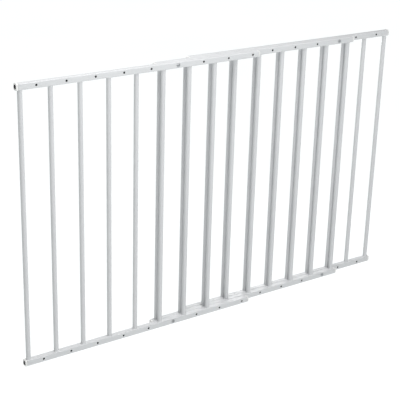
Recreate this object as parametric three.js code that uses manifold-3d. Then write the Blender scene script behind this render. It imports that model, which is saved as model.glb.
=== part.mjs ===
// Extending pet gate: three welded steel panels, one behind the other, that slide along X.
// Millimetres, +X along the gate, +Y to the back, +Z up. The origin is midway along the gate
// and midway through its depth, level with the underside of the lower end sockets.
import * as THREE from 'three';
import { mergeVertices } from 'three/addons/utils/BufferGeometryUtils.js';
import Module from 'manifold-3d';

const wasm = await Module();
wasm.setup();

// Driving dimensions
const BAR_COUNT = 16; // bar places along the whole gate
const PITCH = 75; // bar to bar, and hole to hole
const RAIL_SPACING = 683; // centre of the bottom rails to centre of the top rails
const RAIL = 15; // side of the square rail tube
const RAIL_WALL = 1;
const RAIL_CORNER = 2;
const BAR_DIAMETER = 11.5;
const BAR_WALL = 0.8;
const HOLE_DIAMETER = 5.5; // clearance for the locking screws
const SLIDE_GAP = 0.4; // between the rails of neighbouring panels
const FIT_GAP = 0.3; // between pieces that touch

const OUTER_OVERHANG = 0.15 * PITCH; // end bar's axis to the gate's outer end
const LONG_OVERHANG = 1.83 * PITCH; // last bar's axis to the inner end of an outer panel
const SHORT_OVERHANG = 0.25 * PITCH; // end bar's axis to either end of the middle panel

const COLLAR_LENGTH = 5;
const COLLAR_LIP = 0.8; // how far the collar stands above and below the rail
const SOCKET_SPIGOT = 20; // part of an end socket inside the tube
const SOCKET_BORE = 10.5;
const DOME_LENGTH = 6; // part of an end plug outside the tube
const DOME_INSET = 4.5; // how far the dome curves in on each side
const PLUG_SPIGOT = 14; // part of an end plug inside the tube

const SCREW_SHANK = 5;
const SCREW_HEAD = 9;
const HEAD_HEIGHT = 3;
const RECESS_WIDTH = 1.2;
const RECESS_LENGTH = 5;
const RECESS_DEPTH = 1.5;

// Segment counts
const CORNER_STEPS = 2;
const BAR_SIDES = 16;
const BORE_SIDES = 16;
const HOLE_SIDES = 12;
const SCREW_SIDES = 16;
const CURVE_RINGS = 4;

// Worked out from the driving dimensions
const LAYER = RAIL + SLIDE_GAP;
const TUBE_BORE = RAIL - 2 * RAIL_WALL;
const SPIGOT = TUBE_BORE - 2 * FIT_GAP;
const INNER_CORNER = RAIL_CORNER - RAIL_WALL;
const BAR_LENGTH = RAIL_SPACING - RAIL - 2 * FIT_GAP;
const SHANK_LENGTH = RAIL + SLIDE_GAP - FIT_GAP;
const FRONT_FACE = (HEAD_HEIGHT + FIT_GAP - 3 * RAIL - 2 * SLIDE_GAP) / 2;
const BOTTOM_AXIS = COLLAR_LIP + RAIL / 2;
const TOP_AXIS = BOTTOM_AXIS + RAIL_SPACING;
const ROWS = { top: TOP_AXIS, bottom: BOTTOM_AXIS };

// Layer counted from the front, first and last bar place, reach of the rails past those bars,
// which piece closes each end, holes drilled in the rails, and the hole that carries a screw
const LEFT_PANEL = {
  name: 'left_panel', layer: 0, first: 1, last: 8, leftReach: OUTER_OVERHANG,
  rightReach: LONG_OVERHANG, leftEnd: 'socket', rightEnd: 'plug',
  firstHole: 1, lastHole: 9, screwHole: 6,
};
const MIDDLE_PANEL = {
  name: 'middle_panel', layer: 1, first: 6, last: 14, leftReach: SHORT_OVERHANG,
  rightReach: SHORT_OVERHANG, leftEnd: 'plug', rightEnd: 'plug',
  firstHole: 6, lastHole: 13, screwHole: 13,
};
const RIGHT_PANEL = {
  name: 'right_panel', layer: 2, first: 9, last: 16, leftReach: LONG_OVERHANG,
  rightReach: OUTER_OVERHANG, leftEnd: 'plug', rightEnd: 'socket',
  firstHole: 7, lastHole: 15, screwHole: 0,
};

// Finishes
const finish = (color, roughness, metalness) =>
  new THREE.MeshStandardMaterial({ color, roughness, metalness });
const WHITE_STEEL = finish(0xeeeeee, 0.4, 0.1);
const WHITE_PLASTIC = finish(0xf6f6f4, 0.5, 0);
const ZINC_STEEL = finish(0x9ea1a4, 0.4, 0.9);

// X of a bar place, and of the hole midway between it and the next one
const barX = (place) => (place - (BAR_COUNT + 1) / 2) * PITCH;
const holeX = (place) => barX(place) + PITCH / 2;
const axisY = (panel) => FRONT_FACE + RAIL / 2 + panel.layer * LAYER;

// A closed geometry as a solid that can be joined and cut
function toSolid(geometry) {
  const bare = geometry.clone();
  bare.deleteAttribute('normal');
  bare.deleteAttribute('uv');
  const merged = mergeVertices(bare, 1e-4);
  const vertProperties = new Float32Array(merged.attributes.position.array);
  const triVerts = new Uint32Array(merged.index.array);
  return new wasm.Manifold(new wasm.Mesh({ numProp: 3, vertProperties, triVerts }));
}

// A solid as a geometry with flat-shaded faces
function toGeometry(solid) {
  const mesh = solid.getMesh();
  const positions = Float32Array.from(mesh.vertProperties);
  const indexed = new THREE.BufferGeometry();
  indexed.setAttribute('position', new THREE.BufferAttribute(positions, 3));
  indexed.setIndex(new THREE.BufferAttribute(Uint32Array.from(mesh.triVerts), 1));
  const flat = indexed.toNonIndexed();
  flat.computeVertexNormals();
  return flat;
}

// Draws a rounded rectangle centred on the origin
function roundedRect(path, width, height, radius) {
  const x = width / 2 - radius;
  const y = height / 2 - radius;
  path.absarc(x, y, radius, 0, Math.PI / 2, false);
  path.absarc(-x, y, radius, Math.PI / 2, Math.PI, false);
  path.absarc(-x, -y, radius, Math.PI, 1.5 * Math.PI, false);
  path.absarc(x, -y, radius, 1.5 * Math.PI, 2 * Math.PI, false);
  path.closePath();
  return path;
}

// Extrudes a section drawn in (Y, Z) along +X, from X = 0 to the length
function alongX(shape, length) {
  const options = { depth: length, bevelEnabled: false, curveSegments: CORNER_STEPS };
  const geometry = new THREE.ExtrudeGeometry(shape, options);
  return geometry.rotateX(Math.PI / 2).rotateZ(Math.PI / 2);
}

// Cylinder with its axis along Y, centred on the origin
function cylinderY(diameter, length, sides) {
  return new THREE.CylinderGeometry(diameter / 2, diameter / 2, length, sides);
}

// Square tube along +X from X = 0, drilled through along Y at each of the given places
function railGeometry(length, drilledAt) {
  const section = roundedRect(new THREE.Shape(), RAIL, RAIL, RAIL_CORNER);
  section.holes.push(roundedRect(new THREE.Path(), TUBE_BORE, TUBE_BORE, INNER_CORNER));
  let rail = toSolid(alongX(section, length));
  for (const x of drilledAt) {
    const drill = cylinderY(HOLE_DIAMETER, 2 * RAIL, HOLE_SIDES).translate(x, 0, 0);
    rail = rail.subtract(toSolid(drill));
  }
  return toGeometry(rail);
}

// Round tube standing on Z = 0
function barGeometry() {
  const outer = BAR_DIAMETER / 2;
  const inner = outer - BAR_WALL;
  const profile = [
    new THREE.Vector2(outer, 0),
    new THREE.Vector2(outer, BAR_LENGTH),
    new THREE.Vector2(inner, BAR_LENGTH),
    new THREE.Vector2(inner, 0),
    new THREE.Vector2(outer, 0),
  ];
  return new THREE.LatheGeometry(profile, BAR_SIDES).rotateX(Math.PI / 2);
}

// Bored end socket: outer face at X = 0, collar and then spigot towards +X
function socketGeometry() {
  const tall = RAIL + 2 * COLLAR_LIP;
  const collarSection = roundedRect(new THREE.Shape(), RAIL, tall, RAIL_CORNER);
  const spigotSection = roundedRect(new THREE.Shape(), SPIGOT, SPIGOT, INNER_CORNER);
  const length = COLLAR_LENGTH + SOCKET_SPIGOT;
  const bore = cylinderY(SOCKET_BORE, 3 * length, BORE_SIDES).rotateZ(Math.PI / 2);
  const body = toSolid(alongX(collarSection, COLLAR_LENGTH))
    .add(toSolid(alongX(spigotSection, length)));
  return toGeometry(body.subtract(toSolid(bore)));
}

// Corner points of a rounded square in the plane X = x
function squareRing(x, side, radius) {
  const points = roundedRect(new THREE.Path(), side, side, radius).getPoints(CORNER_STEPS);
  const following = (i) => points[(i + 1) % points.length];
  const ring = points.filter((point, i) => point.distanceTo(following(i)) > 1e-6);
  return ring.map((point) => new THREE.Vector3(x, point.x, point.y));
}

// Closed skin over rings of equal point counts, ordered towards +X, with a fan over each end
function skinGeometry(rings) {
  const count = rings[0].length;
  const total = (ring) => ring.reduce((sum, p) => sum.add(p), new THREE.Vector3());
  const centre = (ring) => total(ring).divideScalar(count);
  const first = 0;
  const last = (rings.length - 1) * count;
  const nearCentre = rings.length * count;
  const farCentre = nearCentre + 1;
  const index = [];
  for (let i = 0; i < count; i += 1) {
    const next = (i + 1) % count;
    for (let start = 0; start < last; start += count) {
      index.push(start + i, start + next, start + count + i);
      index.push(start + next, start + count + next, start + count + i);
    }
    index.push(nearCentre, first + next, first + i);
    index.push(farCentre, last + i, last + next);
  }
  const points = [...rings.flat(), centre(rings[0]), centre(rings[rings.length - 1])];
  const indexed = new THREE.BufferGeometry().setFromPoints(points);
  indexed.setIndex(index);
  const flat = indexed.toNonIndexed();
  flat.computeVertexNormals();
  return flat;
}

// Domed end plug: spigot from X = 0, then a dome whose tip faces +X
function plugGeometry() {
  const rings = [squareRing(0, SPIGOT, INNER_CORNER)];
  rings.push(squareRing(PLUG_SPIGOT, SPIGOT, INNER_CORNER));
  rings.push(squareRing(PLUG_SPIGOT, RAIL, RAIL_CORNER));
  for (let i = 0; i <= CURVE_RINGS; i += 1) {
    const angle = (i / CURVE_RINGS) * (Math.PI / 2);
    const x = PLUG_SPIGOT + 1 + (DOME_LENGTH - 1) * Math.sin(angle);
    const side = RAIL - 2 * DOME_INSET * (1 - Math.cos(angle));
    rings.push(squareRing(x, side, RAIL_CORNER));
  }
  return skinGeometry(rings);
}

// Pan-head screw along Y: underside of the head at Y = 0, shank towards +Y, cross recess in front
function screwGeometry() {
  const profile = [new THREE.Vector2(0, -HEAD_HEIGHT)];
  for (let i = 1; i <= CURVE_RINGS; i += 1) {
    const angle = (i / CURVE_RINGS) * (Math.PI / 2);
    const radius = (SCREW_HEAD / 2) * (0.45 + 0.55 * Math.sin(angle));
    profile.push(new THREE.Vector2(radius, -1 - (HEAD_HEIGHT - 1) * Math.cos(angle * 0.98)));
  }
  profile.push(new THREE.Vector2(SCREW_HEAD / 2, 0));
  profile.push(new THREE.Vector2(SCREW_SHANK / 2, 0));
  profile.push(new THREE.Vector2(SCREW_SHANK / 2, SHANK_LENGTH + FIT_GAP - 0.6));
  profile.push(new THREE.Vector2(SCREW_SHANK / 2 - 0.6, SHANK_LENGTH + FIT_GAP));
  profile.push(new THREE.Vector2(0, SHANK_LENGTH + FIT_GAP));
  const slot = new THREE.BoxGeometry(RECESS_LENGTH, 2 * RECESS_DEPTH, RECESS_WIDTH);
  slot.translate(0, -HEAD_HEIGHT, 0);
  const cross = toSolid(slot).add(toSolid(slot.clone().rotateY(Math.PI / 2)));
  return toGeometry(toSolid(new THREE.LatheGeometry(profile, SCREW_SIDES)).subtract(cross));
}

// Names a piece, puts it in place and adds it to the gate
function place(gate, name, geometry, material, x, y, z) {
  const mesh = new THREE.Mesh(geometry, material);
  mesh.name = name;
  mesh.position.set(x, y, z);
  gate.add(mesh);
  return mesh;
}

// The piece closing one end of a rail, its outermost point at X = x
function addEnd(gate, name, kind, side, x, y, z) {
  const isSocket = kind === 'socket';
  const plugLength = PLUG_SPIGOT + DOME_LENGTH;
  const geometry = isSocket ? socketGeometry() : plugGeometry();
  if (!isSocket) {
    geometry.rotateZ(Math.PI).translate(plugLength, 0, 0);
  }
  if (side === 'right') {
    geometry.rotateZ(Math.PI);
  }
  const pieceName = isSocket ? `${name}_end_socket` : `${name}_${side}_plug`;
  place(gate, pieceName, geometry, WHITE_PLASTIC, x, y, z);
}

// One rail with the pieces that close its ends and its locking screw
function addRail(gate, panel, row, z) {
  const y = axisY(panel);
  const visible = (kind) => (kind === 'socket' ? COLLAR_LENGTH : DOME_LENGTH) + FIT_GAP;
  const leftTip = barX(panel.first) - panel.leftReach;
  const rightTip = barX(panel.last) + panel.rightReach;
  const tubeStart = leftTip + visible(panel.leftEnd);
  const tubeEnd = rightTip - visible(panel.rightEnd);
  const drilledAt = [];
  for (let hole = panel.firstHole; hole <= panel.lastHole; hole += 1) {
    drilledAt.push(holeX(hole) - tubeStart);
  }
  const name = `${panel.name}_${row}`;
  const rail = railGeometry(tubeEnd - tubeStart, drilledAt);
  place(gate, `${name}_rail`, rail, WHITE_STEEL, tubeStart, y, z);
  addEnd(gate, name, panel.leftEnd, 'left', leftTip, y, z);
  addEnd(gate, name, panel.rightEnd, 'right', rightTip, y, z);
  if (panel.screwHole > 0) {
    const headSeat = y - RAIL / 2 - FIT_GAP;
    place(gate, `${name}_screw`, screwGeometry(), ZINC_STEEL, holeX(panel.screwHole), headSeat, z);
  }
}

// One welded panel: two rails and a row of upright bars between them
function addPanel(gate, panel) {
  for (const [row, z] of Object.entries(ROWS)) {
    addRail(gate, panel, row, z);
  }
  const barBase = BOTTOM_AXIS + RAIL / 2 + FIT_GAP;
  for (let bar = panel.first; bar <= panel.last; bar += 1) {
    const name = `${panel.name}_bar_${bar - panel.first + 1}`;
    place(gate, name, barGeometry(), WHITE_STEEL, barX(bar), axisY(panel), barBase);
  }
}

const gate = new THREE.Group();
gate.name = 'pet_gate';
for (const panel of [LEFT_PANEL, MIDDLE_PANEL, RIGHT_PANEL]) {
  addPanel(gate, panel);
}

export default gate;
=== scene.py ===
import math
import random

import bmesh
import bpy
from mathutils import Matrix, Vector


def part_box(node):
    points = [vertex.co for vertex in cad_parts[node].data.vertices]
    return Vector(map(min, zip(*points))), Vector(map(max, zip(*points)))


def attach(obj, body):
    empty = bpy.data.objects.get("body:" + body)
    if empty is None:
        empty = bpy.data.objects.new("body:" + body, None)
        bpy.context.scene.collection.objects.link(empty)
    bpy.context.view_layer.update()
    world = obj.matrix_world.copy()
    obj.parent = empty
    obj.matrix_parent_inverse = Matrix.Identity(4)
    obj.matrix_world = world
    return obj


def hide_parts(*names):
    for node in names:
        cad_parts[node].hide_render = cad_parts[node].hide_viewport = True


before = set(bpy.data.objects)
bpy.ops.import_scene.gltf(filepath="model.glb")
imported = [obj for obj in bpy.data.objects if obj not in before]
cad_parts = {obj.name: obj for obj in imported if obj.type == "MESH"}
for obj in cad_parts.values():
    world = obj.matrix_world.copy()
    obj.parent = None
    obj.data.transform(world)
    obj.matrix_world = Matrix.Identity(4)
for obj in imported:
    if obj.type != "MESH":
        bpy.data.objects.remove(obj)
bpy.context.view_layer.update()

MM = 0.001
PITCH = 75 * MM                 # from bar to bar, and from hole to hole
RAIL_WALL = 1 * MM
RAIL_CORNER = 2 * MM
HOLE_RADIUS = 2.75 * MM
HOLE_EDGE = 0.25 * MM           # rounding of a hole's edge under the coat
FIT_GAP = 0.3 * MM              # gap that the CAD keeps between touching pieces
SOCKET_BORE = 5.25 * MM         # radius of the bore
SOCKET_MOUTH = 0.4 * MM         # rounding where the bore opens
SPIGOT_CORNER = 0.9 * MM        # corners of the end pieces inside the tubes
PANELS = {
    # body: bars, first hole counted in pitches from the first bar, number of holes
    "left_panel": (8, 0.5, 9),
    "middle_panel": (9, 0.5, 8),
    "right_panel": (8, -1.5, 9),
}

CORNER_STEPS = 6
SIDE_STEPS = 10
HOLE_STEPS = 32
BAR_SIDES = 48
SCREW_SIDES = 40
SIGNS = ((1, 1), (-1, 1), (-1, -1), (1, -1))    # of the four corners, in turning order


# ---------------------------------------------------------------- mesh helpers

def add_object(name, verts, faces, material, sharp_deg=38.0, inside=None, is_inside=None):
    """A mesh object with outward faces, smooth shading weighted by face area, and sharp real edges.

    Faces whose centre passes is_inside get the inside material, which carries painted shade.
    """
    bm = bmesh.new()
    made = [bm.verts.new(v) for v in verts]
    for face in faces:
        made_face = bm.faces.new([made[i] for i in face])
        if inside is not None and is_inside(made_face.calc_center_median()):
            made_face.material_index = 1
    bmesh.ops.remove_doubles(bm, verts=bm.verts[:], dist=1e-7)
    bmesh.ops.recalc_face_normals(bm, faces=bm.faces[:])
    for face in bm.faces:
        face.smooth = True
    mesh = bpy.data.meshes.new(name)
    bm.to_mesh(mesh)
    bm.free()
    mesh.set_sharp_from_angle(angle=math.radians(sharp_deg))
    mesh.materials.append(material)
    if inside is not None:
        mesh.materials.append(inside)
    obj = bpy.data.objects.new(name, mesh)
    bpy.context.scene.collection.objects.link(obj)
    weighted = obj.modifiers.new("weighted_normals", "WEIGHTED_NORMAL")
    weighted.keep_sharp = True
    weighted.weight = 80
    return obj


def stand_for(obj, node, body):
    """The finished piece joins the CAD node's body, and the CAD node is hidden."""
    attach(obj, body)
    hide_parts(node)


def middle(lo, hi):
    return (lo + hi) / 2


def quarter_turn(steps, first=0):
    """Angles from 0 to 90 degrees, without those before the first step."""
    return [math.radians(90 * k / steps) for k in range(first, steps + 1)]


def skin(rings, cap_start=False, cap_end=False, loop=False):
    """Vertices and faces of a skin over rings with the same number of points."""
    count = len(rings[0])
    verts = [p for ring in rings for p in ring]
    faces = []
    pairs = [(k, k + 1) for k in range(len(rings) - 1)]
    if loop:
        pairs.append((len(rings) - 1, 0))
    for a, b in pairs:
        for i in range(count):
            j = (i + 1) % count
            faces.append((a * count + i, a * count + j, b * count + j, b * count + i))
    for wanted, ring in ((cap_start, 0), (cap_end, len(rings) - 1)):
        if wanted:
            centre = sum((Vector(p) for p in rings[ring]), Vector()) / count
            verts.append(tuple(centre))
            for i in range(count):
                j = (i + 1) % count
                faces.append((ring * count + i, ring * count + j, len(verts) - 1))
    return verts, faces


def square_ring(half_y, half_z, radius):
    """Points (y, z) round a rounded rectangle, corners and sides both divided."""
    corners = []
    for quarter, (sy, sz) in enumerate(SIGNS):
        cy, cz = sy * (half_y - radius), sz * (half_z - radius)
        angles = [math.radians(90 * quarter) + a for a in quarter_turn(CORNER_STEPS)]
        corners.append([(cy + radius * math.cos(a), cz + radius * math.sin(a)) for a in angles])
    ring = []
    for corner, following in zip(corners, corners[1:] + corners[:1]):
        ring += corner
        (y0, z0), (y1, z1) = corner[-1], following[0]
        for k in range(1, SIDE_STEPS):
            t = k / SIDE_STEPS
            ring.append((y0 + (y1 - y0) * t, z0 + (z1 - z0) * t))
    return ring


def round_ring(radius, like):
    """Points (y, z) on a circle, at the angles of another ring's points."""
    angles = [math.atan2(z, y) for y, z in like]
    return [(radius * math.cos(a), radius * math.sin(a)) for a in angles]


# ---------------------------------------------------------------- materials

def noise(nodes, links, coords, scale, detail):
    tex = nodes.new("ShaderNodeTexNoise")
    tex.inputs["Scale"].default_value = scale
    tex.inputs["Detail"].default_value = detail
    links.new(coords.outputs["Object"], tex.inputs["Vector"])
    return tex.outputs["Fac"]


def spread(nodes, links, fac, low, high):
    """Maps a noise factor to values from low to high."""
    ranged = nodes.new("ShaderNodeMapRange")
    ranged.inputs["From Min"].default_value = 0.3
    ranged.inputs["From Max"].default_value = 0.7
    ranged.inputs["To Min"].default_value = low
    ranged.inputs["To Max"].default_value = high
    links.new(fac, ranged.inputs["Value"])
    return ranged.outputs["Result"]


def tint(nodes, links, fac, dark, light):
    """Colour that wanders between two close tones."""
    mix = nodes.new("ShaderNodeMix")
    mix.data_type = "RGBA"
    mix.inputs["A"].default_value = (*dark, 1)
    mix.inputs["B"].default_value = (*light, 1)
    links.new(fac, mix.inputs["Factor"])
    return mix.outputs["Result"]


def bump(nodes, links, height, strength, distance, normal):
    node = nodes.new("ShaderNodeBump")
    node.inputs["Strength"].default_value = strength
    node.inputs["Distance"].default_value = distance
    links.new(height, node.inputs["Height"])
    if normal is not None:
        links.new(normal, node.inputs["Normal"])
    return node.outputs["Normal"]


def surface(name, tone, rough=None, grains=(), fixed=None):
    """Material with wandering tone and roughness, and bumps of one or more sizes.

    tone is (scale, detail, dark, light), rough is (scale, detail, low, high), and a grain is
    (scale, detail, strength, distance). The fixed values are set on the shader's own sockets.
    """
    mat = bpy.data.materials.new(name)
    mat.use_nodes = True
    nodes, links = mat.node_tree.nodes, mat.node_tree.links
    bsdf = nodes["Principled BSDF"]
    coords = nodes.new("ShaderNodeTexCoord")

    scale, detail, dark, light = tone
    cloud = spread(nodes, links, noise(nodes, links, coords, scale, detail), 0.0, 1.0)
    links.new(tint(nodes, links, cloud, dark, light), bsdf.inputs["Base Color"])
    if rough is not None:
        scale, detail, low, high = rough
        uneven = noise(nodes, links, coords, scale, detail)
        links.new(spread(nodes, links, uneven, low, high), bsdf.inputs["Roughness"])
    normal = None
    for scale, detail, strength, distance in grains:
        height = noise(nodes, links, coords, scale, detail)
        normal = bump(nodes, links, height, strength, distance, normal)
    if normal is not None:
        links.new(normal, bsdf.inputs["Normal"])
    for socket, value in (fixed or {}).items():
        bsdf.inputs[socket].default_value = value
    return mat


# White powder coat on steel: satin, with a fine orange peel over a slower wave.
COAT = surface(
    "white_powder_coat",
    tone=(9.0, 2.0, (0.638, 0.649, 0.660), (0.662, 0.672, 0.682)),
    rough=(140.0, 4.0, 0.34, 0.46),
    grains=((620.0, 2.0, 0.16, 0.06 * MM), (120.0, 2.0, 0.10, 0.12 * MM)),
    fixed={"IOR": 1.5})

# White moulded plastic: whiter and a little warmer than the coat, with a spark-eroded grain.
PLASTIC = surface(
    "white_moulded_plastic",
    tone=(40.0, 2.0, (0.79, 0.79, 0.78), (0.83, 0.83, 0.822)),
    rough=(300.0, 3.0, 0.42, 0.55),
    grains=((2600.0, 2.0, 0.22, 0.03 * MM),),
    fixed={"IOR": 1.47})

# Zinc plating, its tone set darker than plain zinc as painted shade and painted dark reflection on
# the heads, with hazy patches and fine turning marks.
ZINC = surface(
    "zinc_plated_steel",
    tone=(900.0, 3.0, (0.40, 0.41, 0.43), (0.52, 0.53, 0.54)),
    rough=(1500.0, 3.0, 0.26, 0.40),
    grains=((4200.0, 2.0, 0.2, 0.02 * MM),),
    fixed={"Metallic": 1.0})

# Painted shade: a near-black colour, far darker than bare steel or white plastic, on the faces inside
# the tubes and the sockets' bores, with patches of thin grey overspray.
PAINTED_SHADE_INSIDE = surface(
    "painted_shade_inside",
    tone=(60.0, 4.0, (0.030, 0.030, 0.032), (0.060, 0.060, 0.062)),
    rough=(220.0, 3.0, 0.55, 0.75),
    grains=((900.0, 3.0, 0.3, 0.05 * MM),),
    fixed={"Specular IOR Level": 0.3})

# Plain pale floor like a light table's, lit from below, with barely visible tone changes.
FLOOR = surface(
    "pale_floor",
    tone=(1.3, 2.0, (0.14, 0.14, 0.14), (0.16, 0.16, 0.16)),
    fixed={"Roughness": 0.9, "Specular IOR Level": 0.1,
           "Emission Color": (0.975, 1, 1, 1), "Emission Strength": 0.93})


# ---------------------------------------------------------------- the gate's pieces

def rail_shape(lo, hi, holes):
    """Square tube along X with rounded corners and softened holes through its front and back."""
    cy, cz = middle(lo.y, hi.y), middle(lo.z, hi.z)
    half = (hi.z - lo.z) / 2
    inner = half - RAIL_WALL
    flat = half - RAIL_CORNER
    verts, faces = [], []

    def point(x, y, z):
        verts.append((x, cy + y, cz + z))
        return len(verts) - 1

    # A square cell round each hole, with plain lengths of rail between the cells.
    stations = [lo.x]
    for x in holes:
        stations += [x - flat, x + flat]
    stations.append(hi.x)
    lengths = list(zip(stations, stations[1:]))
    cells = {1 + 2 * i: x for i, x in enumerate(holes)}

    def edge_chain(sign, h):
        """Section from the front flat over the top or bottom to the back flat."""
        r = h - flat
        front = [(-flat - r * math.cos(a), sign * (flat + r * math.sin(a)))
                 for a in quarter_turn(CORNER_STEPS)]
        return front + [(-y, z) for y, z in reversed(front)]

    def strip(chain):
        for x0, x1 in lengths:
            for (y0, z0), (y1, z1) in zip(chain, chain[1:]):
                faces.append((point(x0, y0, z0), point(x1, y0, z0),
                              point(x1, y1, z1), point(x0, y1, z1)))

    def circle(x, y, radius):
        angles = [math.radians(45 + 360 * k / HOLE_STEPS) for k in range(HOLE_STEPS)]
        return [point(x + radius * math.cos(a), y, radius * math.sin(a)) for a in angles]

    def holed_cell(x, y, ring):
        corner = [point(x + sx * flat, y, sz * flat) for sx, sz in SIGNS]
        quarter = HOLE_STEPS // 4
        halfway = quarter // 2
        for q in range(4):
            a, b = corner[q], corner[(q + 1) % 4]
            arc = [ring[(q * quarter + k) % HOLE_STEPS] for k in range(quarter + 1)]
            for k in range(quarter):
                faces.append((arc[k], arc[k + 1], a if k < halfway else b))
            faces.append((arc[halfway], a, b))

    def flat_side(y, radius):
        for i, (x0, x1) in enumerate(lengths):
            if i in cells:
                holed_cell(cells[i], y, circle(cells[i], y, radius))
            else:
                faces.append((point(x0, y, -flat), point(x1, y, -flat),
                              point(x1, y, flat), point(x0, y, flat)))

    def hole_wall(x, side):
        rings = []
        for a in quarter_turn(4):
            rings.append(circle(x, side * (half - HOLE_EDGE * (1 - math.cos(a))),
                                HOLE_RADIUS + HOLE_EDGE * (1 - math.sin(a))))
        rings.append(circle(x, side * inner, HOLE_RADIUS))
        for a, b in zip(rings, rings[1:]):
            for i in range(HOLE_STEPS):
                j = (i + 1) % HOLE_STEPS
                faces.append((a[i], a[j], b[j], b[i]))

    for h in (half, inner):
        strip(edge_chain(1, h))
        strip(edge_chain(-1, h))
    for side in (-1, 1):
        flat_side(side * half, HOLE_RADIUS + HOLE_EDGE)
        flat_side(side * inner, HOLE_RADIUS)
        for x in holes:
            hole_wall(x, side)
    outside, inside = (edge_chain(1, h) + edge_chain(-1, h)[::-1] for h in (half, inner))
    for x in (lo.x, hi.x):
        for i in range(len(outside)):
            j = (i + 1) % len(outside)
            faces.append([point(x, y, z) for y, z in (outside[i], outside[j], inside[j], inside[i])])
    return verts, faces


def bar_shape(lo, hi, rail_half, rng):
    """Round bar whose ends flare into small uneven weld beads on the rails above and below."""
    cx, cy = middle(lo.x, hi.x), middle(lo.y, hi.y)
    radius = (hi.x - lo.x) / 2
    flat = rail_half - RAIL_CORNER
    waves = 4
    sunk = 0.12 * MM                # how far the bead's foot goes into the rail

    def bead_end(surface_z, up):
        """Rings from the rail's surface up or down the bar."""
        phases = [rng.uniform(0, 2 * math.pi) for _ in range(waves)]
        ripple_phase = rng.uniform(0, 2 * math.pi)
        size = rng.uniform(0.9, 1.1)
        rings = []
        for f in reversed(quarter_turn(8)):
            ring = []
            for i in range(BAR_SIDES):
                a = 2 * math.pi * i / BAR_SIDES
                uneven = sum(math.sin((n + 2) * a + phases[n]) for n in range(waves)) / waves
                across = math.sin(a) ** 2
                width = (2.5 - 1.35 * across) * MM * size * (1 + 0.16 * uneven)
                height = (2.6 - 0.9 * across) * MM * size * (1 - 0.14 * uneven)
                ripple = 0.07 * MM * math.sin(2 * f) * math.sin(19 * a + ripple_phase)
                r = radius + width * (1 - math.cos(f)) + ripple
                y = r * math.sin(a)
                over = min(max(abs(y) - flat, 0.0), RAIL_CORNER)
                drop = RAIL_CORNER - math.sqrt(RAIL_CORNER ** 2 - over ** 2)
                rise = height * (1 - math.sin(f)) - (drop + sunk) * math.sin(f)
                ring.append((cx + r * math.cos(a), cy + y, surface_z + up * rise))
            rings.append(ring)
        return rings

    bottom = bead_end(lo.z - FIT_GAP, 1)
    top = bead_end(hi.z + FIT_GAP, -1)
    return skin(bottom + top[::-1], cap_start=True, cap_end=True)


def end_rings(lo, hi, outward, outline):
    """3-D rings of an end piece from (depth behind the tip, (y, z) ring) pairs."""
    tip = lo.x if outward < 0 else hi.x
    cy, cz = middle(lo.y, hi.y), middle(lo.z, hi.z)
    return [[(tip - outward * s, cy + y, cz + z) for y, z in ring] for s, ring in outline]


def socket_shape(lo, hi, outward, rail_half):
    """Bored end socket: rounded collar outside, spigot inside the tube, rounded bore mouth."""
    half_y, half_z = (hi.y - lo.y) / 2, (hi.z - lo.z) / 2
    length = hi.x - lo.x
    spigot = rail_half - RAIL_WALL - FIT_GAP
    collar, corner, lip, heel = 5 * MM, 3.8 * MM, 1.6 * MM, 0.4 * MM

    def collar_ring(inset):
        return square_ring(half_y - inset, half_z - inset, corner - inset)

    def bore_ring(radius):
        return round_ring(radius, square_ring(half_y, half_z, corner))

    outline = [(lip * (1 - math.cos(a)), collar_ring(lip * (1 - math.sin(a))))
               for a in quarter_turn(8)]
    outline += [(collar - heel * (1 - math.sin(a)), collar_ring(heel * (1 - math.cos(a))))
                for a in quarter_turn(3)]
    outline += [(s, square_ring(spigot, spigot, SPIGOT_CORNER)) for s in (collar, length)]
    outline += [(s, bore_ring(SOCKET_BORE)) for s in (length, SOCKET_MOUTH)]
    for a in quarter_turn(4, first=1):
        flare = SOCKET_MOUTH * (1 - math.cos(a))
        outline.append((SOCKET_MOUTH * (1 - math.sin(a)), bore_ring(SOCKET_BORE + flare)))
    return skin(end_rings(lo, hi, outward, outline), loop=True)


def plug_shape(lo, hi, outward):
    """Domed end plug pushed into the tube, with a thin parting step where it meets the tube."""
    half = (hi.z - lo.z) / 2
    spigot = half - RAIL_WALL - FIT_GAP
    dome, rim, inset, step = 5 * MM, 6 * MM, 4.5 * MM, 0.15 * MM
    outline = []
    for a in quarter_turn(12):
        h = half - inset * (1 - math.sin(a))
        roundest = h * 0.98
        corner = RAIL_CORNER + (roundest - RAIL_CORNER) * (1 - math.sin(a)) ** 0.6
        outline.append((dome * (1 - math.cos(a)), square_ring(h, h, min(corner, roundest))))
    outline.append((rim - step, square_ring(half, half, RAIL_CORNER)))
    outline.append((rim, square_ring(half - step, half - step, RAIL_CORNER)))
    outline += [(s, square_ring(spigot, spigot, SPIGOT_CORNER)) for s in (rim, hi.x - lo.x)]
    return skin(end_rings(lo, hi, outward, outline), cap_start=True, cap_end=True)


def screw_shape(lo, hi, seat_y):
    """Pan-head screw along Y, its head resting on the rail at seat_y."""
    cx, cz = middle(lo.x, hi.x), middle(lo.z, hi.z)
    head = (hi.x - lo.x) / 2
    tall = seat_y - lo.y - 0.1 * MM
    shank = 2.5 * MM
    clear = 0.02 * MM               # between the head's underside and the rail
    tip = seat_y - hi.y
    profile = []                    # (radius, distance in front of the rail)
    for k in range(1, 8):
        a = math.radians(78 * k / 7)
        profile.append((head * math.sin(a) * 0.98, tall - tall * 0.55 * (1 - math.cos(a))))
    profile += [(head, tall * 0.42), (head, 0.3 * MM), (head - 0.25 * MM, clear),
                (shank, clear), (shank, tip + 0.5 * MM), (shank - 0.5 * MM, tip)]
    turn = [2 * math.pi * i / SCREW_SIDES for i in range(SCREW_SIDES)]
    rings = [[(cx + r * math.cos(a), seat_y - out, cz + r * math.sin(a)) for a in turn]
             for r, out in profile]
    return skin(rings, cap_start=True, cap_end=True)


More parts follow.
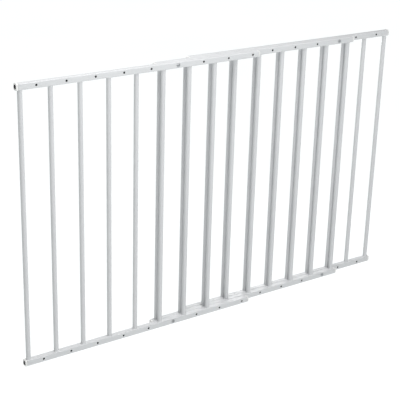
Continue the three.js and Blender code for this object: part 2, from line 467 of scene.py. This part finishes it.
def cut_recess(obj, cx, cz, top_y, turn):
    """Cross recess in a screw head: two tapered slots, cut and applied."""
    wide_end = (top_y - 0.5 * MM, 2.7 * MM, 0.62 * MM)      # y, half length, half width
    deep_end = (top_y + 1.7 * MM, 1.3 * MM, 0.42 * MM)
    slot = [(sx * length, y, sz * width) for y, length, width in (wide_end, deep_end)
            for sx, sz in SIGNS]
    sides = [(0, 1, 2, 3), (7, 6, 5, 4), (0, 4, 5, 1), (1, 5, 6, 2), (2, 6, 7, 3), (3, 7, 4, 0)]
    for extra in (0.0, math.pi / 2):
        cutter = add_object("cutter", slot, sides, ZINC)
        cutter.data.transform(Matrix.Translation((cx, 0, cz)) @ Matrix.Rotation(turn + extra, 4, "Y"))
        cut = obj.modifiers.new("recess", "BOOLEAN")
        cut.solver = "EXACT"
        cut.object = cutter
        obj.modifiers.move(len(obj.modifiers) - 1, 0)
        depsgraph = bpy.context.evaluated_depsgraph_get()
        baked = bpy.data.meshes.new_from_object(obj.evaluated_get(depsgraph))
        obj.modifiers.remove(cut)
        old, obj.data = obj.data, baked
        bpy.data.meshes.remove(old)
        bpy.data.objects.remove(cutter)


def inside_tube(lo, hi):
    """Test for points on the tube's inner faces, which get the painted-shade colour."""
    cy, cz = middle(lo.y, hi.y), middle(lo.z, hi.z)
    reach = (hi.z - lo.z) / 2 - 0.9 * RAIL_WALL
    return lambda p: abs(p.y - cy) < reach and abs(p.z - cz) < reach


def inside_bore(lo, hi, outward):
    """Test for points on a socket's bore, behind its rounded mouth, which get the painted-shade
    colour.
    """
    cy, cz = middle(lo.y, hi.y), middle(lo.z, hi.z)
    tip = lo.x if outward < 0 else hi.x
    return lambda p: (math.hypot(p.y - cy, p.z - cz) < SOCKET_BORE + 0.05 * MM
                      and (tip - p.x) * outward > SOCKET_MOUTH)


def build_end(body, row, side, outward, rail_half):
    """The plug or socket at one end of a rail, whichever the CAD has there."""
    plug, socket = f"{body}_{row}_{side}_plug", f"{body}_{row}_end_socket"
    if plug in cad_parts:
        piece = add_object(f"{plug}_dome", *plug_shape(*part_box(plug), outward), PLASTIC)
        stand_for(piece, plug, body)
    else:
        lo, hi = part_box(socket)
        # Painted shade: the bore behind its mouth gets the near-black inside colour.
        piece = add_object(f"{socket}_moulding", *socket_shape(lo, hi, outward, rail_half), PLASTIC,
                           inside=PAINTED_SHADE_INSIDE, is_inside=inside_bore(lo, hi, outward))
        stand_for(piece, socket, body)


def build_screw(body, row, seat_y, rng):
    screw = f"{body}_{row}_screw"
    lo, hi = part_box(screw)
    piece = add_object(f"{screw}_pan_head", *screw_shape(lo, hi, seat_y), ZINC, sharp_deg=30.0)
    cut_recess(piece, middle(lo.x, hi.x), middle(lo.z, hi.z), lo.y, rng.uniform(0, math.pi))
    stand_for(piece, screw, body)


def build_panel(body, bars, first_hole, hole_count, rng):
    """Every finished piece of one panel, each in the place of its CAD node."""
    lo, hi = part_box(f"{body}_bar_1")
    hole_x0 = middle(lo.x, hi.x) + first_hole * PITCH
    holes = [hole_x0 + k * PITCH for k in range(hole_count)]
    for row in ("top", "bottom"):
        rail = f"{body}_{row}_rail"
        lo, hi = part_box(rail)
        rail_half = (hi.z - lo.z) / 2
        # Painted shade: the tube's inner faces get the near-black inside colour.
        tube = add_object(f"{rail}_tube", *rail_shape(lo, hi, holes), COAT,
                          inside=PAINTED_SHADE_INSIDE, is_inside=inside_tube(lo, hi))
        stand_for(tube, rail, body)
        for side, outward in (("left", -1), ("right", 1)):
            build_end(body, row, side, outward, rail_half)
        if f"{body}_{row}_screw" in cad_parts:
            build_screw(body, row, lo.y, rng)
    for k in range(1, bars + 1):
        bar = f"{body}_bar_{k}"
        tube = add_object(f"{bar}_tube", *bar_shape(*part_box(bar), rail_half, rng), COAT)
        stand_for(tube, bar, body)


rng = random.Random(7)
for body, (bars, first_hole, hole_count) in PANELS.items():
    build_panel(body, bars, first_hole, hole_count, rng)


# ---------------------------------------------------------------- floor, lights, camera

def make_floor(level, half):
    verts = [(-sx * half, -sy * half, level) for sx, sy in SIGNS]
    floor = add_object("floor", verts, [(0, 1, 2, 3)], FLOOR)


def area_light(name, place, target, width, height, power):
    data = bpy.data.lights.new(name, "AREA")
    data.shape = "RECTANGLE"
    data.size = width
    data.size_y = height
    data.energy = power
    lamp = bpy.data.objects.new(name, data)
    lamp.location = place
    lamp.rotation_euler = (Vector(target) - Vector(place)).to_track_quat("-Z", "Y").to_euler()
    lamp.visible_camera = False
    bpy.context.scene.collection.objects.link(lamp)


def sun_light(name, azimuth, elevation, spread_deg, strength):
    """Even light from far away. Azimuth 0 is behind the gate, +Y, and 90 is +X."""
    az, el = math.radians(azimuth), math.radians(elevation)
    towards = Vector((math.sin(az) * math.cos(el), math.cos(az) * math.cos(el), math.sin(el)))
    data = bpy.data.lights.new(name, "SUN")
    data.angle = math.radians(spread_deg)
    data.energy = strength
    lamp = bpy.data.objects.new(name, data)
    lamp.rotation_euler = (-towards).to_track_quat("-Z", "Y").to_euler()
    bpy.context.scene.collection.objects.link(lamp)


def studio_world(strength, seen):
    """Dim even room light, behind a backdrop that is seen as pale as the floor."""
    world = bpy.data.worlds.new("studio")
    world.use_nodes = True
    nodes, links = world.node_tree.nodes, world.node_tree.links
    room, backdrop = nodes["Background"], nodes.new("ShaderNodeBackground")
    for background, brightness in ((room, strength), (backdrop, seen)):
        background.inputs["Color"].default_value = (1, 1, 1, 1)
        background.inputs["Strength"].default_value = brightness
    pick = nodes.new("ShaderNodeMixShader")
    path = nodes.new("ShaderNodeLightPath")
    links.new(path.outputs["Is Camera Ray"], pick.inputs[0])
    links.new(room.outputs["Background"], pick.inputs[1])
    links.new(backdrop.outputs["Background"], pick.inputs[2])
    links.new(pick.outputs["Shader"], nodes["World Output"].inputs["Surface"])
    bpy.context.scene.world = world


def place_camera(lens, place, look, up):
    data = bpy.data.cameras.new("camera")
    data.lens = lens
    data.sensor_width = 36.0
    camera = bpy.data.objects.new("camera", data)
    look = look.normalized()
    side = look.cross(up).normalized()
    turned = Matrix((side, side.cross(look), -look)).transposed()
    camera.matrix_world = Matrix.Translation(place) @ turned.to_4x4()
    bpy.context.scene.collection.objects.link(camera)
    bpy.context.scene.camera = camera


make_floor(level=-0.10, half=60.0)
area_light("key_softbox", (-0.6, -0.7, 1.8), (-0.1, 0, 0.35), 0.4, 0.4, 3.4)
area_light("high_softbox", (0.05, -1.2, 1.9), (-0.8, 0, 0.3), 0.6, 0.6, 6.7)
area_light("front_softbox", (0.0, -1.4, 1.0), (-0.9, 0, 0.2), 0.5, 0.5, 4.8)
area_light("overhead_softbox", (-0.25, 0.0, 1.9), (-0.4, 0, 0), 0.9, 0.9, 7.4)
area_light("back_softbox", (0.75, 0.75, 0.58), (0.35, 0, 0.0), 0.5, 0.2, 2.1)
sun_light("high_front_fill", azimuth=200, elevation=78, spread_deg=30, strength=1.33)
sun_light("low_back_fill", azimuth=20, elevation=30, spread_deg=40, strength=0.36)
studio_world(strength=0.09, seen=1.0)
bpy.context.scene.view_settings.view_transform = "Standard"
place_camera(lens=97.08,
             place=Vector((-1.56018, -2.10831, 1.31069)),
             look=Vector((0.541661, 0.761132, -0.356765)),
             up=Vector((0.183023, 0.307450, 0.933797)))
